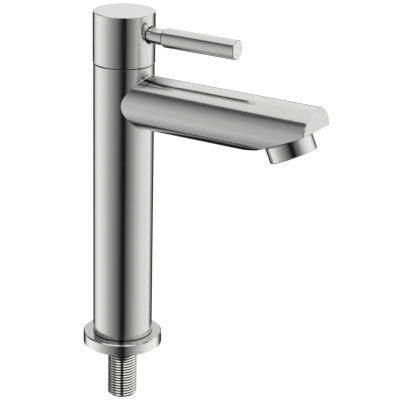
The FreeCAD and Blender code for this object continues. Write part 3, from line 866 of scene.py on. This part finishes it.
@dataclass
class Handle:
    """Cap and lever, which turn together. Sizes in millimetres."""

    skirt_wall: float = 2.6
    top: float = 4.5
    # The bore over the hub, from the top down to this height above the deck
    hub_bore: float = 14.1
    hub_level: float = 224.0
    bevel: float = 0.35
    hole_clearance: float = 0.65
    # The neck's inner stud, and how far from the column's axis its shoulder seats
    stud: float = 8.0
    seat: float = 13.2
    # How much nearer to the cap the grip starts than its node, and the width of the painted
    # shade line there
    grip_lead: float = 0.95
    joint_line: float = 0.75
    grip_start_bevel: float = 0.6
    grip_end_bevel: float = 0.5
    grip_bore: float = 6.2
    grip_depth: float = 10.4
    # Width of the painted shade line at the seam between cap and column
    seam: float = 0.4
    edge: float = 0.1
    axis: Placement = Placement()
    lever: Placement = field(init=False)
    joint: Crevice = field(init=False)

    def __post_init__(self) -> None:
        """Find the lever's axis, and the painted shade line round the neck where the grip meets
        it.
        """
        low, high = span("lever_grip")
        self.lever = Placement(0, (low.z + high.z) / 2, 90)
        neck_low, neck_high = span("lever_neck")
        self.joint = Crevice((neck_high.z - neck_low.z) / 2, low.x - self.grip_lead,
                             self.joint_line)

    def build(self) -> None:
        """Make every visible piece of the handle."""
        self._cap()
        self._neck()
        self._grip()

    def _cap(self) -> None:
        """The turned cup with the side hole for the lever."""
        low, high = span("handle_cap")
        radius = high.x
        # Painted shade line at the seam between cap and column
        seam = Crevice(radius, (low.z + span("column_tube")[1].z) / 2, self.seam)
        piece = Bench.turn("cap_shell", [
            (self.hub_bore, high.z - self.top), (self.hub_bore, self.hub_level),
            (radius - self.skirt_wall, self.hub_level), (radius - self.skirt_wall, low.z),
            (radius - self.bevel, low.z), (radius, low.z + self.bevel),
            (radius, high.z - self.bevel), (radius - self.bevel, high.z),
        ], solid=True)
        hole = self.joint.radius + self.hole_clearance
        cutter = Bench.rod("lever_hole_cutter", hole, 0, radius * 2, self.lever, PLAIN)
        Bench.combine(piece, cutter)
        Bench.soften(piece, self.edge)
        Bench.smooth(piece)
        # Painted shade on the wall of the lever's hole
        wall = SideHole(hole, self.lever.up)
        Bench.finish(piece, BRUSHED.material(Axis.COLUMN, self.axis, wall, seam),
                     "handle_cap", body="handle")

    def _neck(self) -> None:
        """The thinner rod between cap and grip, with its studs."""
        low, high = span("lever_neck")
        radius, start = self.joint.radius, self.joint.height
        outer_stud = self.grip_bore / 2 - self.edge
        piece = Bench.turn("lever_neck_rod", [
            (self.stud / 2, low.x), (self.stud / 2, self.seat), (radius, self.seat),
            (radius, start), (outer_stud, start), (outer_stud, high.x),
        ], solid=True, placement=self.lever)
        Bench.soften(piece, self.edge)
        Bench.smooth(piece)
        Bench.finish(piece, BRUSHED.material(Axis.LEVER, self.lever, self.joint),
                     "lever_neck", body="handle")

    def _grip(self) -> None:
        """The thicker round grip, hollow where the neck screws in."""
        low, high = span("lever_grip")
        radius, start = (high.z - low.z) / 2, self.joint.height
        piece = Bench.turn("lever_grip_bar", [
            (self.grip_bore / 2, low.x + self.grip_depth), (self.grip_bore / 2, start),
            (radius - self.grip_start_bevel, start), (radius, start + self.grip_start_bevel),
            (radius, high.x - self.grip_end_bevel), (radius - self.grip_end_bevel, high.x),
        ], solid=True, placement=self.lever)
        Bench.soften(piece, self.edge)
        Bench.smooth(piece)
        Bench.finish(piece, BRUSHED.material(Axis.LEVER, self.lever, self.joint),
                     "lever_grip", body="handle")


@dataclass
class Spout:
    """Tube with a saddle, an end plate, a sole plate and a weld. Sizes in millimetres."""

    wall: float = 1.5
    plate: float = 1.5
    sole_rise: float = 3.05
    sole_angle: float = 24.6
    saddle_clearance: float = 0.06
    aerator_hole: float = 28.2
    aerator_setback: float = 22.8
    # The weld's radius on top, its fullness below and the sides round its section
    weld: float = 0.6
    weld_below: float = 0.9
    weld_sides: int = 12
    edge: float = 0.5
    edge_steps: int = 3
    # The round along the sole's front edge
    brow: float = 0.7
    brow_cuts: int = 3
    # The broken rim of the sole, which starts behind the brow and lies in the sole's plane
    seam_edge: float = 0.25
    seam_start: float = 2.5
    seam_gap: float = 0.01
    # The round at the sole's heel: full and gone at these shares of the tube's radius downwards
    heel: float = 6.0
    heel_steps: int = 5
    heel_low: float = 0.96
    heel_high: float = 0.74
    reach: float = field(init=False)
    radius: float = field(init=False)
    level: float = field(init=False)
    column: float = field(init=False)
    axis: Placement = field(init=False)
    aerator: Placement = field(init=False)

    def __post_init__(self) -> None:
        """Read the spout's place and the column's radius, and find the aerator's axis."""
        low, high = span("spout_end_plate")
        self.column = span("column_tube")[1].x
        self.reach = high.x
        self.radius = (high.y - low.y) / 2
        self.level = high.z - self.radius
        self.axis = Placement(0, self.level, 90)
        slant = math.radians(self.sole_angle)
        self.aerator = Placement(
            self.reach - self.aerator_setback * math.cos(slant),
            self.level + self.sole_rise - self.aerator_setback * math.sin(slant),
            -self.sole_angle,
        )

    @property
    def sole_normal(self) -> Vector:
        """The direction square to the sole, downwards and out."""
        slant = math.radians(self.sole_angle)
        return Vector((math.sin(slant), 0, -math.cos(slant)))

    @property
    def sole_point(self) -> Vector:
        """The front edge of the sole, in metres."""
        return Vector((self.reach, 0, self.level + self.sole_rise)) * MM

    def build(self) -> None:
        """Make the three welded pieces from one softened blank, and the weld."""
        blank = self._blank()
        inner_end = Vector((self.reach - self.plate, 0, 0)) * MM
        inner_sole = self.sole_point - self.sole_normal * (self.plate * MM)
        plate = Bench.copy(blank, "spout_end_disc")
        Bench.slice(plate, inner_end, Vector((-1, 0, 0)))
        Bench.slice(blank, inner_end, Vector((1, 0, 0)))
        sole = Bench.copy(blank, "spout_sole")
        Bench.slice(sole, inner_sole, -self.sole_normal)
        Bench.slice(blank, inner_sole, self.sole_normal)
        blank.name = "spout_shell"
        bore = Bench.rod("spout_bore_cutter", self.radius - self.wall, 0, self.reach * 2,
                         self.axis)
        Bench.combine(blank, bore)
        hole = Bench.rod("sole_hole_cutter", self.aerator_hole / 2, -self.plate * 2,
                         self.plate * 3, self.aerator, PLAIN)
        Bench.combine(sole, hole)
        # The top of the spout next to the column is painted darker, as painted shade
        finish = BRUSHED.material(Axis.SPOUT, self.axis, Corner(self.column))
        for piece, node in ((blank, "spout_tube"), (plate, "spout_end_plate"),
                            (sole, "spout_sole_plate")):
            Bench.smooth(piece)
            Bench.finish(piece, finish, node)
        self._weld_bead()

    def _blank(self) -> Piece:
        """The spout's outside as one solid, with its outer edges broken."""
        piece = Bench.rod("spout_shell", self.radius, 0, self.reach, self.axis)
        Bench.soften(piece, self.edge, self.edge_steps)
        self._cut_brow(piece)
        Bench.slice(piece, self.sole_point, self.sole_normal)
        self._blend_heel(piece)
        saddle = Bench.rod("saddle_cutter", self.column + self.saddle_clearance,
                           self.level - self.radius * 2, self.level + self.radius * 2,
                           Placement())
        Bench.combine(piece, saddle)
        return piece

    def _cut_brow(self, piece: Piece) -> None:
        """Round the front edge of the sole with a few cuts across it.

        Args:
            piece: The blank, before its sole is cut.
        """
        opening = math.radians(90 - self.sole_angle)
        inward = -(Vector((1, 0, 0)) + self.sole_normal).normalized()
        middle = self.sole_point + inward * (self.brow * MM / math.cos(opening / 2))
        for cut in range(1, self.brow_cuts + 1):
            lean = opening * cut / (self.brow_cuts + 1)
            facing = Vector((math.cos(lean), 0, -math.sin(lean)))
            Bench.slice(piece, middle + facing * (self.brow * MM), facing)

    def _blend_heel(self, piece: Piece) -> None:
        """Break the rim of the sole, and blend its heel into the tube with a wide round.

        Args:
            piece: The blank with its sole cut.
        """
        mesh = piece.data
        weights = mesh.attributes.new("bevel_weight_edge", "FLOAT", "EDGE")
        for edge, weight in zip(mesh.edges, weights.data):
            ends = [mesh.vertices[index].co / MM for index in edge.vertices]
            if not all(self._on_sole(end) for end in ends):
                continue
            depth = (self.level - (ends[0].z + ends[1].z) / 2) / self.radius
            share = (depth - self.heel_high) / (self.heel_low - self.heel_high)
            share = min(max(share, 0.0), 1.0)
            share = share * share * (3 - 2 * share)
            weight.value = (self.seam_edge + (self.heel - self.seam_edge) * share) / self.heel
        Bench.modify(piece, "BEVEL", width=self.heel * MM, segments=self.heel_steps,
                     limit_method="WEIGHT", use_clamp_overlap=False)

    def _on_sole(self, place: Vector) -> bool:
        """Whether a corner in millimetres lies on the sole's plane, behind the brow."""
        off = (place - self.sole_point / MM).dot(self.sole_normal)
        return abs(off) < self.seam_gap and place.x < self.reach - self.seam_start

    def _weld_bead(self) -> None:
        """The thin ground weld that follows the saddle round the spout."""
        Bench.clear()
        bpy.ops.mesh.primitive_torus_add(
            major_segments=FINE, minor_segments=self.weld_sides,
            major_radius=self.radius * MM, minor_radius=self.weld * MM,
            location=(0, 0, self.level * MM), rotation=(0, math.radians(90), 0),
        )
        bead = bpy.context.active_object
        bead.name = "spout_weld_bead"
        bpy.ops.object.transform_apply(location=True, rotation=True, scale=True)
        for vertex in bead.data.vertices:
            self._lay(vertex)
        bpy.ops.object.shade_smooth()
        Bench.finish(bead, BRUSHED.material(Axis.SPOUT, self.axis))

    def _lay(self, vertex: bpy.types.MeshVertex) -> None:
        """Thin the bead at the sides of the spout and lay it on the column.

        Args:
            vertex: A point of the bead.
        """
        across, up = vertex.co.y, vertex.co.z - self.level * MM
        reach = math.hypot(across, up)
        fullness = (up / reach) ** 2 * (1.0 if up > 0 else self.weld_below)
        ring = self.radius * MM
        scale = (ring + (reach - ring) * fullness) / reach
        vertex.co.y = across * scale
        vertex.co.z = self.level * MM + up * scale
        saddle = math.sqrt((self.column * MM) ** 2 - vertex.co.y ** 2)
        vertex.co.x = vertex.co.x * fullness + saddle


@dataclass
class Aerator:
    """The ring under the sole, screwed into the spout. Sizes in millimetres."""

    placement: Placement
    collar: float = 32.7
    height: float = 11.5
    # Width of the painted shade line where the ring meets the sole
    contact: float = 0.8
    bevel: float = 0.5
    thread: float = 28.0
    thread_length: float = 6.0
    bore: float = 24.6
    lip_bore: float = 22.0
    lip: float = 1.4
    edge: float = 0.1

    def build(self) -> None:
        """Make the ring."""
        radius = self.collar / 2
        piece = Bench.turn("aerator_ring", [
            (self.lip_bore / 2, -self.height), (radius - self.bevel, -self.height),
            (radius, self.bevel - self.height), (radius, 0), (self.thread / 2, 0),
            (self.thread / 2, self.thread_length), (self.bore / 2, self.thread_length),
            (self.bore / 2, self.lip - self.height), (self.lip_bore / 2, self.lip - self.height),
        ], placement=self.placement)
        Bench.soften(piece, self.edge)
        Bench.smooth(piece)
        # Painted shade line where the ring meets the sole
        contact = Crevice(radius, 0.0, self.contact)
        Bench.finish(piece, BRUSHED.material(Axis.AERATOR, self.placement, contact),
                     "aerator_housing")


@dataclass
class Inside:
    """The CAD nodes that stay as they are, out of sight or nearly so."""

    aerator: Placement

    def dress(self) -> None:
        """Give each of these nodes its material, and brushed steel to all the others."""
        upright = Placement()
        families = [
            (TURNED.material(Axis.COLUMN, upright),
             "base_plug", "riser_pipe", "valve_housing", "hub_screw"),
            (TURNED.material(Axis.AERATOR, self.aerator), "aerator_bush", "aerator_grid"),
            (RUBBER.material(), "flange_o_ring", "bonnet_o_ring", "seat_seal",
             "spindle_o_ring", "aerator_washer"),
            (WHITE_PLASTIC.material(), "aerator_insert", "stop_ring"),
            (GREY_PLASTIC.material(), "glide_ring"),
            (BRASS.material(), "cartridge_body", "spindle", "spline_hub"),
            (CERAMIC.material(), "fixed_disc", "moving_disc"),
        ]
        finishes = {name: material for material, *names in families for name in names}
        for name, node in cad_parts.items():
            material = finishes.get(name, BRUSHED.material(Axis.COLUMN, upright))
            node.data.materials.clear()
            node.data.materials.append(material)
        log.info("dressed %d CAD nodes", len(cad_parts))


@dataclass(frozen=True)
class Direction:
    """A direction in the sky: degrees to the right of the camera and above the level."""

    net: Network
    side: Signal
    height: Signal


@dataclass(frozen=True)
class Panel:
    """A soft-edged panel of the tent, bright or dark.

    Its edges are in degrees: across from the camera to the right, or from the panel's middle
    to both sides where it has one, and up from the level.
    """

    tone: float
    across: tuple[SoftEdge, ...] = ()
    up: tuple[SoftEdge, ...] = ()
    middle: float | None = None

    def share(self, at: Direction) -> Signal:
        """How much of the panel stands in a direction.

        Args:
            at: The direction.

        Returns:
            The share, from 0 to 1.
        """
        side = at.side if self.middle is None else (at.side - self.middle).size()
        steps = [at.net.step(side, *edge) for edge in self.across]
        steps += [at.net.step(at.height, *edge) for edge in self.up]
        return math.prod(steps[1:], start=steps[0])

    def cast(self, at: Direction) -> Signal:
        """The panel's share times its tone."""
        return self.share(at) * self.tone


@dataclass
class Studio:
    """A pale floor, a tent of light that the camera doesn't see, and the camera."""

    # The camera: degrees, millimetres to its target, and the lens and sensor in millimetres
    azimuth: float = 30.565
    elevation: float = 20.059
    distance: float = 1197.998
    roll: float = 1.269
    lens: float = 152.59
    sensor: float = 36.0
    target: tuple[float, float, float] = (46.74, 27.60, 109.46)
    # The nearest and the farthest that it sees, in metres
    near: float = 0.05
    far: float = 60.0
    # The floor's side in metres, its colour, and the white glow that the camera sees in it
    floor_size: float = 20.0
    paper: Tint = (0.92, 0.92, 0.92)
    glow: float = 1.3
    glow_share: float = 0.8
    # How often metal mirrors metal
    mirrors: int = 1
    # Brightness of the walls by degrees from the camera to the picture's left (-) and right (+)
    wall: tuple[GraphPoint, ...] = (
        (-180, 0.02), (-158, 0.02), (-145, 0.03), (-139, 0.12), (-131, 0.68), (-120, 0.88),
        (-101, 0.97), (-75, 0.76), (-54, 0.47), (-20, 0.155), (-8, 0.040), (-3, 0.014),
        (7, 0.008), (10.5, 0.020), (13, 0.095), (17, 0.13), (30, 0.26), (52, 0.55), (80, 0.84),
        (106, 0.88), (119, 0.99), (124, 0.83), (133, 0.50), (144, 0.12), (154, 0.02),
        (180, 0.02),
    )
    # Share of the wall's brightness left at each height in degrees
    fade: tuple[GraphPoint, ...] = (
        (-90, 0.30), (-58, 0.42), (-33, 1.0), (0, 1.0), (15, 0.74), (32, 0.34), (40, 0.16),
        (47, 0.06), (90, 0.06),
    )
    # The right wall doesn't fade at eye level
    right_wall: Panel = Panel(1.15, ((25.0, 55.0),), ((-8.0, 8.0), (40.0, 26.0)))
    # The far wall, behind the tap
    backdrop: Panel = Panel(0.87, ((122.0, 134.0),), ((-2.0, 6.0),), -12.0)
    # The light over the camera, for the slopes of the thread, and its dark middle
    front: Panel = Panel(0.93, ((-62.0, -50.0), (118.0, 100.0)))
    front_line: Panel = Panel(0.88, ((18.0, 8.0),), middle=-2.0)
    front_foot: SoftEdge = (25.0, 30.0)
    front_top: SoftEdge = (43.0, 40.0)
    # Degrees by which its foot comes down on the right
    front_drop: Panel = Panel(8.0, ((60.0, 100.0),))
    # Dark panels at the outer left, with a gap that lets light in, and at the outer right
    left_dark: Panel = Panel(0.95, ((-72.0, -84.0), (-165.0, -150.0)),
                             ((-10.0, -2.0), (40.0, 34.0)))
    left_gap: Panel = Panel(0.8, up=((12.0, 17.0), (28.0, 23.0)))
    right_dark: Panel = Panel(0.9, ((118.0, 128.0), (165.0, 150.0)), ((4.0, 8.0), (24.0, 18.0)))
    # The roof, with a darker strip over the camera
    roof: Panel = Panel(0.82, up=((49.0, 52.0),))
    roof_strip: Panel = Panel(0.8, ((14.0, 7.0),), middle=1.0)

    def build(self) -> None:
        """Set the sky, the floor, the camera and the view."""
        self._sky()
        self._floor()
        self._camera()
        bpy.context.scene.view_settings.view_transform = "Standard"
        bpy.context.scene.cycles.glossy_bounces = self.mirrors

    def _sky(self) -> None:
        """Light from all round: white to the camera, the tent to everything else."""
        world = bpy.data.worlds.new("studio")
        bpy.context.scene.world = world
        world.use_nodes = True
        net = Network(world.node_tree)
        tent = self._tent(self._direction(net))
        seen = net.make("ShaderNodeLightPath", output="Is Camera Ray")
        sky = net.make("ShaderNodeBackground", None, WHITE, tent.toward(1.0, seen))
        net.make("ShaderNodeOutputWorld", None, sky)

    def _direction(self, net: Network) -> Direction:
        """Measure the direction of a ray about the camera's own.

        Args:
            net: The sky's network.

        Returns:
            The direction.
        """
        x, y, z = net.split(net.make("ShaderNodeTexCoord", output="Generated"))
        turn = math.radians(self.azimuth)
        forward = x * math.sin(turn) - y * math.cos(turn)
        right = x * math.cos(turn) + y * math.sin(turn)
        degrees = math.degrees(1)
        return Direction(net, right.angle_from(forward) * degrees, z.sine_angle() * degrees)

    @staticmethod
    def _graph(angle: Signal, reach: float, points: tuple[GraphPoint, ...]) -> Signal:
        """Read the grey at an angle off a graph that runs from -reach to reach."""
        stops = [((place + reach) / (reach * 2), grey) for place, grey in points]
        return angle.network.make("ShaderNodeValToRGB", {"stops": stops},
                                  angle * (1 / (reach * 2)) + 0.5)

    def _tent(self, at: Direction) -> Signal:
        """Set the walls, the panels and the roof.

        Args:
            at: A direction.

        Returns:
            The brightness that stands in it.
        """
        wall = self._graph(at.side, 180, self.wall)
        fade = self._graph(at.height, 90, self.fade)
        tent = wall * fade.toward(self.right_wall.tone, self.right_wall.share(at))
        tent = tent.toward(self.backdrop.tone, self.backdrop.share(at))
        foot = at.height + self.front_drop.cast(at)
        front = (self.front.share(at) * at.net.step(foot, *self.front_foot)
                 * at.net.step(at.height, *self.front_top))
        tent = tent.toward(self.front.tone - self.front_line.cast(at), front)
        left_dark = self.left_dark.cast(at) * (1 - self.left_gap.cast(at))
        tent = tent * (1 - left_dark) * (1 - self.right_dark.cast(at))
        roof = self.roof.tone * (1 - self.roof_strip.cast(at))
        return tent.toward(roof, self.roof.share(at))

    def _floor(self) -> None:
        """A pale floor that keeps the soft shadow of the tail."""
        bpy.ops.object.select_all(action="DESELECT")
        bpy.ops.mesh.primitive_plane_add(size=self.floor_size,
                                         location=(0, 0, CAD_BOX[0].z))
        floor = bpy.context.active_object
        floor.name = "studio_floor"
        floor.visible_glossy = False
        material, net = Network.of_material("studio_floor")
        paper = net.make("ShaderNodeBsdfDiffuse", None, (*self.paper, 1.0))
        glow = net.make("ShaderNodeEmission", None, WHITE, self.glow)
        seen = net.make("ShaderNodeLightPath", output="Is Camera Ray")
        surface = net.make("ShaderNodeMixShader", None, seen * self.glow_share, paper, glow)
        net.make("ShaderNodeOutputMaterial", None, surface)
        floor.data.materials.append(material)

    def _camera(self) -> None:
        """The camera at the photograph's angle."""
        turn, lift = math.radians(self.azimuth), math.radians(self.elevation)
        back = Vector((math.sin(turn) * math.cos(lift), -math.cos(turn) * math.cos(lift),
                       math.sin(lift)))
        data = bpy.data.cameras.new("photograph")
        data.lens = self.lens
        data.sensor_width = self.sensor
        data.clip_start, data.clip_end = self.near, self.far
        camera = bpy.data.objects.new("photograph", data)
        bpy.context.scene.collection.objects.link(camera)
        camera.location = (Vector(self.target) + back * self.distance) * MM
        camera.rotation_mode = "QUATERNION"
        tilt = Quaternion((0, 0, 1), math.radians(self.roll))
        camera.rotation_quaternion = (-back).to_track_quat("-Z", "Y") @ tilt
        bpy.context.scene.camera = camera


def main() -> None:
    """Build the tap and its studio."""
    logging.basicConfig(level=logging.INFO, format="%(name)s %(message)s")
    Bench.clear()
    spout = Spout()
    Inside(spout.aerator).dress()
    Column(spout.axis).build()
    Handle().build()
    spout.build()
    Aerator(spout.aerator).build()
    Studio().build()
    bpy.context.view_layer.update()


if __name__ == "__main__":
    main()
